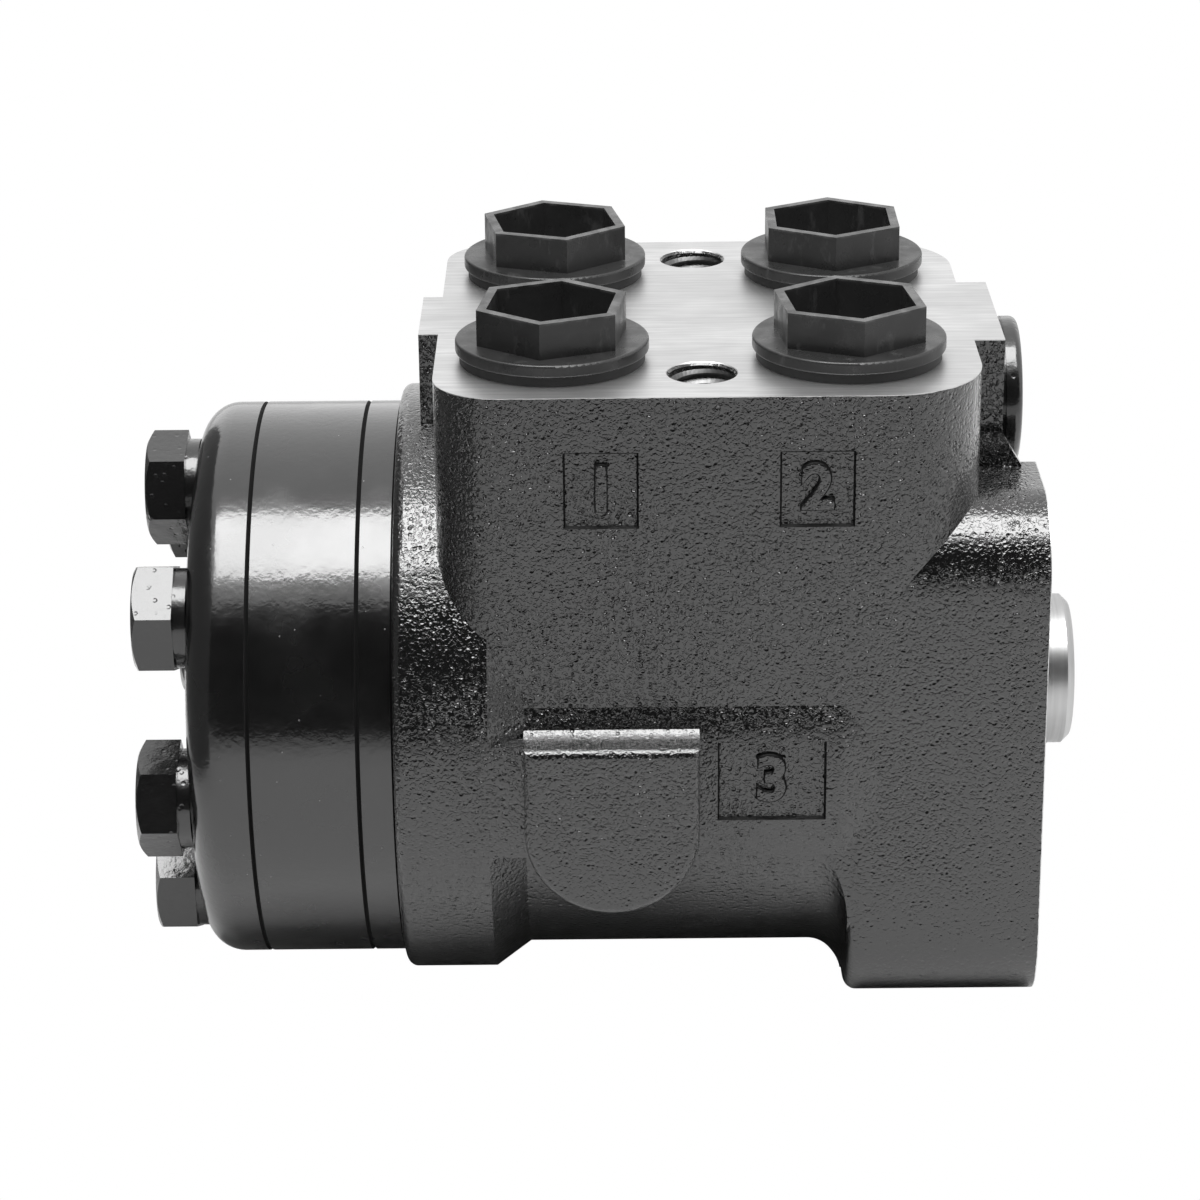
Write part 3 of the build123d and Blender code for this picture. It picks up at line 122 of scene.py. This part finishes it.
# ---------------------------------------------------------------- materials
class Nodes:
    """Short names for building one material's node tree."""

    def __init__(self, name):
        self.material = bpy.data.materials.new(name)
        self.material.use_nodes = True
        self.tree = self.material.node_tree
        self.tree.nodes.clear()
        self.output = self.tree.nodes.new("ShaderNodeOutputMaterial")
        self.coordinates = self.add("ShaderNodeTexCoord").outputs["Object"]

    def add(self, kind, **values):
        node = self.tree.nodes.new(kind)
        for key, value in values.items():
            setattr(node, key, value)
        return node

    def link(self, source, target):
        self.tree.links.new(source, target)

    def put(self, socket, value):
        """A number or colour set on the socket, or a link to it."""
        if isinstance(value, bpy.types.NodeSocket):
            self.link(value, socket)
        else:
            socket.default_value = value

    def noise(self, per_mm, detail=2.0, roughness=0.5, stretch=(1, 1, 1)):
        mapping = self.add("ShaderNodeMapping")
        mapping.inputs["Scale"].default_value = stretch
        self.link(self.coordinates, mapping.inputs["Vector"])
        noise = self.add("ShaderNodeTexNoise")
        self.link(mapping.outputs["Vector"], noise.inputs["Vector"])
        noise.inputs["Scale"].default_value = per_mm / MM
        noise.inputs["Detail"].default_value = detail
        noise.inputs["Roughness"].default_value = roughness
        return noise.outputs["Fac"]

    def cells(self, per_mm):
        """Distance to the nearest of scattered points, in cell widths."""
        cells = self.add("ShaderNodeTexVoronoi")
        self.link(self.coordinates, cells.inputs["Vector"])
        cells.inputs["Scale"].default_value = per_mm / MM
        return cells.outputs["Distance"]

    def ramp(self, value, low, high, out_low=0.0, out_high=1.0):
        node = self.add("ShaderNodeMapRange", interpolation_type="SMOOTHSTEP")
        self.put(node.inputs["Value"], value)
        node.inputs["From Min"].default_value = low
        node.inputs["From Max"].default_value = high
        node.inputs["To Min"].default_value = out_low
        node.inputs["To Max"].default_value = out_high
        return node.outputs["Result"]

    def math(self, operation, *values):
        node = self.add("ShaderNodeMath", operation=operation)
        for socket, value in zip(node.inputs, values):
            self.put(socket, value)
        return node.outputs["Value"]

    def mix(self, factor, dark, light):
        node = self.add("ShaderNodeMix", data_type="RGBA")
        self.put(node.inputs["Factor"], factor)
        self.put(node.inputs["A"], dark)
        self.put(node.inputs["B"], light)
        return node.outputs["Result"]

    def axis(self, name):
        """One coordinate of the surface point, in metres."""
        split = self.add("ShaderNodeSeparateXYZ")
        self.link(self.coordinates, split.inputs["Vector"])
        return split.outputs[name]

    def facing(self, name):
        """One part of the surface's own normal, before any bump."""
        split = self.add("ShaderNodeSeparateXYZ")
        self.link(self.add("ShaderNodeNewGeometry").outputs["Normal"], split.inputs["Vector"])
        return split.outputs[name]

    def bump(self, height, depth_mm):
        node = self.add("ShaderNodeBump")
        node.inputs["Distance"].default_value = depth_mm * MM
        self.link(height, node.inputs["Height"])
        return node.outputs["Normal"]

    def shader(self, normal=None, **values):
        node = self.add("ShaderNodeBsdfPrincipled")
        for key, value in values.items():
            self.put(node.inputs[key.replace("_", " ")], value)
        if normal is not None:
            self.link(normal, node.inputs["Normal"])
            self.link(normal, node.inputs["Coat Normal"])
        return node.outputs["BSDF"]

    def mix_shader(self, factor, first, second):
        node = self.add("ShaderNodeMixShader")
        self.put(node.inputs[0], factor)
        self.link(first, node.inputs[1])
        self.link(second, node.inputs[2])
        return node.outputs[0]

    def finish(self, shader):
        self.link(shader, self.output.inputs["Surface"])
        return self.material


def grey(level):
    return (level, level, level, 1.0)


def bare_mask(n):
    """1 on the ground port face and column face, where the paint stops, and 0 elsewhere."""
    wander = n.math("SUBTRACT", n.noise(0.5, 2.0), 0.5)
    wobble = n.math("MULTIPLY", wander, BARE_WOBBLE * MM)
    bare = []
    for axis, face in (("Z", PORT_FACE_Z), ("X", COLUMN_FACE_X)):
        place = n.math("ADD", n.axis(axis), wobble)
        bare.append(n.math("GREATER_THAN", place, (face - BARE_DEPTH) * MM))
    return n.math("MAXIMUM", *bare)


def ground_metal(n):
    """Bare iron with fine grinding lines along X."""
    lines = n.noise(1.6, 3.0, 0.65, stretch=(0.05, 1.0, 1.0))
    patches = n.ramp(n.noise(0.05, 3.0, 0.6), 0.35, 0.7)
    shade = n.math("MULTIPLY", lines, n.math("ADD", 0.75, n.math("MULTIPLY", patches, 0.5)))
    return n.shader(normal=n.bump(lines, 0.004), Base_Color=n.mix(shade, grey(0.46), grey(0.88)),
                    Metallic=1.0, Roughness=0.40)


def cast_relief(n):
    """Lumps, grain and pits of sand-cast iron, shallower low down and on the upper sides."""
    patchy = n.ramp(n.noise(0.05, 2.0), 0.36, 0.62, 0.65, 1.0)
    upper = n.ramp(n.axis("Z"), SMOOTH_BELOW_Z * MM, ROUGH_ABOVE_Z * MM, LOW_SHARE, 1.0)
    topside = n.ramp(n.facing("Z"), 0.15, 0.45, 1.0, TOPSIDE_SHARE)
    area = n.math("MULTIPLY", patchy, n.math("MULTIPLY", upper, topside))
    lumps = n.math("MULTIPLY", n.noise(0.6, 2.0, 0.5), LUMPS_SHARE)
    grain = n.math("MULTIPLY", n.ramp(n.noise(1.9, 2.0, 0.55), 0.34, 0.54), GRAIN_SHARE)
    pitted = n.ramp(n.noise(0.8, 2.0, 0.6), 0.36, 0.58)
    pits = n.math("MULTIPLY", n.ramp(n.cells(1.0), 0.10, 0.46, 1.0, 0.0), pitted)
    height = n.math("SUBTRACT", n.math("ADD", lumps, grain), n.math("MULTIPLY", pits, PITS_SHARE))
    return n.bump(n.math("MULTIPLY", height, area), CAST_RELIEF)


def cast_paint(name="cast_paint", raised_mark_shade=False):
    """Gloss black paint over rough cast iron.

    On the casting the ground faces are left bare. On a raised mark and its frame the sloping sides
    are dull and near black, a painted shade which gives the dark outline of a cast letter.
    """
    n = Nodes(name)
    normal = cast_relief(n)
    tone = n.mix(n.noise(0.3, 2.0), grey(0.004), grey(0.008))
    paint = n.shader(normal=normal, Base_Color=tone, Roughness=0.14, IOR=PAINT_IOR,
                     Coat_Weight=1.0, Coat_Roughness=0.04, Coat_IOR=COAT_IOR)
    if raised_mark_shade:
        # Painted shade: the sloping sides of the figures and frames turn dull and near black.
        side = n.ramp(n.math("ABSOLUTE", n.facing("Y")), 0.88, 0.97, 1.0, 0.0)
        dull = n.shader(normal=normal, Base_Color=grey(0.004), Roughness=0.5, IOR=1.25)
        return n.finish(n.mix_shader(side, paint, dull))
    return n.finish(n.mix_shader(bare_mask(n), paint, ground_metal(n)))


def smooth_paint():
    """Gloss black paint over turned steel: faint waves, dust specks, and dull black lines at the
    joints that are painted shade.
    """
    n = Nodes("smooth_paint")
    waves = n.noise(0.22, 2.0, 0.5)
    peel = n.noise(1.1, 2.0, 0.55)
    specks = n.ramp(n.cells(0.35), 0.035, 0.050, 1.0, 0.0)
    height = n.math("ADD", waves, n.math("MULTIPLY", specks, 0.6))
    height = n.math("ADD", height, n.math("MULTIPLY", peel, 0.75))
    normal = n.bump(height, TURNED_RELIEF)
    tone = n.mix(specks, n.mix(waves, grey(0.003), grey(0.007)), grey(0.16))
    rough = n.ramp(n.noise(0.08, 3.0, 0.6), 0.35, 0.65, 0.17, 0.29)
    paint = n.shader(normal=normal, Base_Color=tone, Roughness=rough, IOR=PAINT_IOR,
                     Coat_Weight=1.0, Coat_Roughness=0.10, Coat_IOR=COAT_IOR)
    # Painted shade: dull near-black lines at the joints, where shade falls in the grooves between
    # the parts.
    joint_shade = None
    for place in JOINT_PLACES:
        reach = n.math("ABSOLUTE", n.math("SUBTRACT", n.axis("X"), place * MM))
        line = n.math("LESS_THAN", reach, JOINT_SHADE_LINE / 2 * MM)
        joint_shade = line if joint_shade is None else n.math("MAXIMUM", joint_shade, line)
    dull = n.shader(Base_Color=n.mix(waves, grey(0.002), grey(0.006)), Roughness=0.8, IOR=1.3)
    return n.finish(n.mix_shader(joint_shade, paint, dull))


def bolt_paint():
    """Gloss black paint over forged hexagon heads."""
    n = Nodes("bolt_paint")
    waves = n.noise(0.5, 3.0, 0.55)
    dents = n.ramp(n.cells(0.55), 0.08, 0.26)
    normal = n.bump(n.math("ADD", waves, n.math("MULTIPLY", dents, 0.5)), BOLT_RELIEF)
    tone = n.mix(waves, grey(0.004), grey(0.010))
    return n.finish(n.shader(normal=normal, Base_Color=tone, Roughness=0.26, IOR=PAINT_IOR,
                             Coat_Weight=0.8, Coat_Roughness=0.12, Coat_IOR=COAT_IOR))


def plug_plastic():
    """Moulded dark plastic: fine grain, handling marks, and a rim worn pale in places."""
    n = Nodes("plug_plastic")
    grain = n.noise(3.0, 2.0, 0.6)
    scuffs = n.ramp(n.noise(0.35, 4.0, 0.7, stretch=(1, 1, 0.4)), 0.56, 0.72)
    rim = n.ramp(n.axis("Z"), (PLUG_TOP_Z - RIM_WEAR_DEPTH) * MM,
                 (PLUG_TOP_Z - RIM_WORST_DEPTH) * MM)
    worn = n.math("MULTIPLY", rim, n.ramp(n.noise(0.3, 3.0, 0.6), 0.38, 0.66))
    marks = n.math("MAXIMUM", n.math("MULTIPLY", scuffs, 0.45), worn)
    normal = n.bump(n.math("ADD", grain, n.math("MULTIPLY", scuffs, 1.5)), PLUG_RELIEF)
    moulded = n.mix(n.noise(0.2, 3.0, 0.6), grey(0.017), grey(0.030))
    tone = n.mix(marks, moulded, grey(0.09))
    rough = n.ramp(n.noise(0.25, 3.0, 0.6), 0.3, 0.7, 0.24, 0.42)
    return n.finish(n.shader(normal=normal, Base_Color=tone, Roughness=rough, IOR=1.5))


def seal_rubber():
    """Dull black rubber of the seals."""
    n = Nodes("seal_rubber")
    tone = n.mix(n.noise(0.6, 2.0), grey(0.006), grey(0.012))
    normal = n.bump(n.noise(2.5, 2.0), 0.008)
    return n.finish(n.shader(normal=normal, Base_Color=tone, Roughness=0.55))


def turned_steel(name, dark, light, roughness):
    """Bright steel with fine rings round the spool's axis."""
    n = Nodes(name)
    rings = n.noise(1.8, 2.0, 0.6, stretch=(1.0, 0.03, 0.03))
    tone = n.mix(rings, grey(dark), grey(light))
    return n.finish(n.shader(normal=n.bump(rings, 0.006), Base_Color=tone, Metallic=1.0,
                             Roughness=roughness))


def bearing_plastic():
    """Tan plastic of the bearing's cage."""
    n = Nodes("bearing_plastic")
    tone = n.mix(n.noise(0.5, 2.0), (0.30, 0.26, 0.17, 1), (0.38, 0.33, 0.22, 1))
    return n.finish(n.shader(Base_Color=tone, Roughness=0.5))


MATERIALS = {
    "cast_paint": cast_paint,
    "smooth_paint": smooth_paint,
    "bolt_paint": bolt_paint,
    "plug_plastic": plug_plastic,
    "seal_rubber": seal_rubber,
    "hardened_steel": lambda: turned_steel("hardened_steel", 0.42, 0.62, 0.36),
    "spring_steel": lambda: turned_steel("spring_steel", 0.28, 0.40, 0.3),
    "plated_steel": lambda: turned_steel("plated_steel", 0.20, 0.34, 0.35),
    "seal_metal": lambda: turned_steel("seal_metal", 0.45, 0.60, 0.45),
    "bearing_plastic": bearing_plastic,
}


def dress_nodes(frame):
    """Puts each CAD node's material on it, by the slot the record gives."""
    made = {slot: build() for slot, build in MATERIALS.items()}
    slots = {entry["node"]: entry["material_slot"] for entry in frame["record"]["subparts"]}
    for name, node in frame["nodes"].items():
        material = made[slots[name]]
        if not node.material_slots:
            node.data.materials.append(material)
        for slot in node.material_slots:
            slot.material = material


# ---------------------------------------------------------------- pieces
def new_piece(name, shape, material):
    """Turns a bmesh into a piece that rides on the casing."""
    bmesh.ops.recalc_face_normals(shape, faces=shape.faces)
    mesh = bpy.data.meshes.new(name)
    shape.to_mesh(mesh)
    shape.free()
    mesh.materials.append(material)
    piece = bpy.data.objects.new(name, mesh)
    bpy.context.scene.collection.objects.link(piece)
    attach(piece, "casing")


def bridge(shape, first, second):
    """Faces between two rings of as many points each."""
    for index in range(len(first)):
        following = (index + 1) % len(first)
        shape.faces.new((first[index], first[following], second[following], second[index]))


def thread(name, centre, outward, material):
    """Helical ridge inside a tapped hole; outward is the unit vector out of its mouth."""
    side = Vector((0, 1, 0)) if abs(outward.x) > 0.5 else Vector((1, 0, 0))
    other = outward.cross(side)
    profile = [(THREAD_ROOT, -THREAD_FOOT_HALF), (THREAD_MINOR, -THREAD_CREST_HALF),
               (THREAD_MINOR, THREAD_CREST_HALF), (THREAD_ROOT, THREAD_FOOT_HALF)]
    shape = bmesh.new()
    rings = []
    count = THREAD_TURNS * THREAD_STEPS
    half_turn = THREAD_STEPS / 2
    for step in range(count + 1):
        angle = 2 * pi * step / THREAD_STEPS
        depth = THREAD_MOUTH + THREAD_PITCH * (0.5 + step / THREAD_STEPS)
        share = min(1.0, step / half_turn, (count - step) / half_turn + THREAD_END)
        share = max(share, THREAD_END)
        direction = side * cos(angle) + other * sin(angle)
        ring = []
        for radius, along in profile:
            reach = THREAD_ROOT - (THREAD_ROOT - radius) * share
            place = centre + direction * reach - outward * (depth + along * THREAD_PITCH)
            ring.append(shape.verts.new(place * MM))
        rings.append(ring)
    for first, second in zip(rings, rings[1:]):
        bridge(shape, first, second)
    shape.faces.new(rings[0])
    shape.faces.new(reversed(rings[-1]))
    new_piece(name, shape, material)


def threads(material):
    """Threads of the two holes in the port face and the four in the column face."""
    for index, (x, y) in enumerate(VALVE_HOLES):
        mouth = Vector((x, y, PORT_FACE_Z))
        thread(f"valve_thread_{index + 1}", mouth, Vector((0, 0, 1)), material)
    sides = (-COLUMN_HOLE_OFFSET, COLUMN_HOLE_OFFSET)
    for index, (y, z) in enumerate([(y, z) for y in sides for z in sides]):
        mouth = Vector((COLUMN_FACE_X, y, z))
        thread(f"column_thread_{index + 1}", mouth, Vector((1, 0, 0)), material)


def raised_figure(mark, material):
    """Plain raised number, cast on the floor of its frame."""
    name = "mark_" + mark.name
    text = bpy.data.curves.new(name, type="FONT")
    text.body = mark.figure
    text.size = mark.figure_height * MARK_SCALE * MM
    text.align_x = "CENTER"
    text.align_y = "CENTER"
    text.extrude = MARK_STROKE_HEIGHT * MM
    text.bevel_depth = MARK_EDGE * MM
    text.offset = MARK_STROKE_SPREAD * MM
    text.materials.append(material)
    piece = bpy.data.objects.new(name, text)
    bpy.context.scene.collection.objects.link(piece)
    piece.location = Vector((mark.x, mark.floor_y, mark.z)) * MM
    piece.rotation_euler = (radians(90), 0, 0)
    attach(piece, "casing")


def frame_walls(mark, material):
    """Sloping walls round a mark's frame, from the casting's surface down to its floor."""
    shape = bmesh.new()
    loops = []
    section = ((0.0, mark.face_y - FRAME_PROUD), (FRAME_DRAFT, mark.floor_y),
               (0.0, mark.floor_y + FRAME_DRAFT))
    for inset, y in section:
        dx, dz = mark.width / 2 - inset, mark.height / 2 - inset
        corners = [Vector((mark.x + side_x * dx, y, mark.z + side_z * dz))
                   for side_x, side_z in ((-1, -1), (1, -1), (1, 1), (-1, 1))]
        loops.append([shape.verts.new(corner * MM) for corner in corners])
    for first, second in zip(loops, loops[1:] + loops[:1]):
        bridge(shape, first, second)
    new_piece("frame_" + mark.name, shape, material)


def cast_marks(material):
    """The figures and their frames on the front."""
    for mark in MARKS:
        raised_figure(mark, material)
    for mark in MARKS:
        frame_walls(mark, material)


# ---------------------------------------------------------------- stage
def white_floor():
    """Floor under the unit's two resting edges.

    The camera sees it white. The gloss sees its real tone, with the unit's shadow on it.
    """
    rise = (REST_BACK[1] - REST_FRONT[1]) / (REST_BACK[0] - REST_FRONT[0])
    mesh = bpy.data.meshes.new("floor")
    half = FLOOR_SIZE / 2
    corners = [(-half, -half), (half, -half), (half, half), (-half, half)]
    mesh.from_pydata([(x * MM, y * MM, (REST_FRONT[1] + rise * (x - REST_FRONT[0])) * MM)
                      for x, y in corners], [], [(0, 1, 2, 3)])
    floor = bpy.data.objects.new("floor", mesh)
    bpy.context.scene.collection.objects.link(floor)
    n = Nodes("floor_white")
    diffuse = n.add("ShaderNodeBsdfDiffuse")
    diffuse.inputs["Color"].default_value = grey(FLOOR_TONE)
    glow = n.add("ShaderNodeEmission")
    glow.inputs["Color"].default_value = grey(1.0)
    seen = n.add("ShaderNodeLightPath").outputs["Is Camera Ray"]
    floor.data.materials.append(n.finish(n.mix_shader(seen, diffuse.outputs[0], glow.outputs[0])))


def pale_world():
    """White to the camera, the gloss and glass, and a pale room to dull surfaces."""
    world = bpy.data.worlds.new("studio")
    bpy.context.scene.world = world
    world.use_nodes = True
    tree = world.node_tree
    tree.nodes.clear()
    path = tree.nodes.new("ShaderNodeLightPath").outputs
    seen = path["Is Camera Ray"]
    for kind in ("Is Glossy Ray", "Is Transmission Ray"):
        either = tree.nodes.new("ShaderNodeMath")
        either.operation = "MAXIMUM"
        tree.links.new(seen, either.inputs[0])
        tree.links.new(path[kind], either.inputs[1])
        seen = either.outputs[0]
    mix = tree.nodes.new("ShaderNodeMixShader")
    tree.links.new(seen, mix.inputs[0])
    for socket, strength in zip(mix.inputs[1:], (ROOM_LEVEL, 1.0)):
        background = tree.nodes.new("ShaderNodeBackground")
        background.inputs["Color"].default_value = grey(1.0)
        background.inputs["Strength"].default_value = strength
        tree.links.new(background.outputs[0], socket)
    output = tree.nodes.new("ShaderNodeOutputWorld")
    tree.links.new(mix.outputs[0], output.inputs["Surface"])


def softbox():
    """Rectangular area lamp over the unit, which faces it."""
    data = bpy.data.lights.new("softbox_top", "AREA")
    data.shape = "RECTANGLE"
    data.size = SOFTBOX_WIDTH * MM
    data.size_y = SOFTBOX_DEPTH * MM
    data.energy = SOFTBOX_RADIANCE * pi * data.size * data.size_y
    lamp = bpy.data.objects.new("softbox_top", data)
    bpy.context.scene.collection.objects.link(lamp)
    elevation = radians(SOFTBOX_ELEVATION)
    away = Vector((0, -cos(elevation), sin(elevation)))
    across = Vector((1, 0, 0))
    lamp.location = (Vector(LIGHT_TARGET) + away * SOFTBOX_DISTANCE) * MM
    lamp.rotation_euler = Matrix((across, away.cross(across), away)).transposed().to_euler()


def dark_board(name, corners, tone):
    """Board that the camera doesn't see but the gloss shows; corners run round it, in mm."""
    mesh = bpy.data.meshes.new(name)
    mesh.from_pydata([Vector(corner) * MM for corner in corners], [], [(0, 1, 2, 3)])
    board = bpy.data.objects.new(name, mesh)
    bpy.context.scene.collection.objects.link(board)
    n = Nodes(name)
    diffuse = n.add("ShaderNodeBsdfDiffuse")
    diffuse.inputs["Color"].default_value = grey(tone)
    board.data.materials.append(n.finish(diffuse.outputs[0]))
    board.visible_camera = False


def dark_boards():
    """A wide dark wall in front, from the floor up, and a small flag on the left."""
    low = REST_FRONT[1] + BOARD_CLEARANCE
    high = LIGHT_TARGET[2] + CARD_DISTANCE * tan(radians(CARD_TOP_ELEVATION))
    card = [(side * CARD_WIDTH / 2, -CARD_DISTANCE, z)
            for side, z in ((-1, low), (1, low), (1, high), (-1, high))]
    flag = [(FLAG_X, y, z) for y, z in ((FLAG_FRONT_Y, low), (FLAG_REAR_Y, low),
                                        (FLAG_REAR_Y, FLAG_TOP_Z), (FLAG_FRONT_Y, FLAG_TOP_Z))]
    dark_board("dark_card", card, CARD_TONE)
    dark_board("dark_flag", flag, FLAG_TONE)


def camera():
    """Camera at the place from which the photograph was taken."""
    data = bpy.data.cameras.new("camera")
    data.lens = CAMERA_LENS
    data.sensor_width = SENSOR_WIDTH
    eye = bpy.data.objects.new("camera", data)
    bpy.context.scene.collection.objects.link(eye)
    eye.location = Vector(CAMERA_PLACE) * MM
    pitch, yaw, roll = radians(CAMERA_PITCH), radians(CAMERA_YAW), radians(CAMERA_ROLL)
    forward = Vector((sin(yaw) * cos(pitch), cos(yaw) * cos(pitch), -sin(pitch)))
    right = forward.cross(Vector((0, 0, 1))).normalized()
    up = right.cross(forward)
    right_rolled = right * cos(roll) + up * sin(roll)
    up_rolled = -right * sin(roll) + up * cos(roll)
    eye.rotation_euler = Matrix((right_rolled, up_rolled, -forward)).transposed().to_euler()
    bpy.context.scene.camera = eye


# ---------------------------------------------------------------- the scene
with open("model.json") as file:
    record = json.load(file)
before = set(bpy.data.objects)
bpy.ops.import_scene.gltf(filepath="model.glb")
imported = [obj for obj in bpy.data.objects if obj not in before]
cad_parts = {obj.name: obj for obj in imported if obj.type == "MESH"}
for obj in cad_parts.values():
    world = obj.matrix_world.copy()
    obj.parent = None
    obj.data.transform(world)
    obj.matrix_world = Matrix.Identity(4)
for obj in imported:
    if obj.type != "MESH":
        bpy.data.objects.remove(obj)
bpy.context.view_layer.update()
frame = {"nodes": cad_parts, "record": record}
dress_nodes(frame)
# The threads take a darker copy of the plated steel: painted shade for the inside of their holes.
threads(turned_steel("thread_steel_shaded", 0.12, 0.24, 0.42))
cast_marks(cast_paint("mark_paint", raised_mark_shade=True))
white_floor()
pale_world()
dark_boards()
softbox()
camera()
bpy.context.scene.view_settings.view_transform = "Standard"
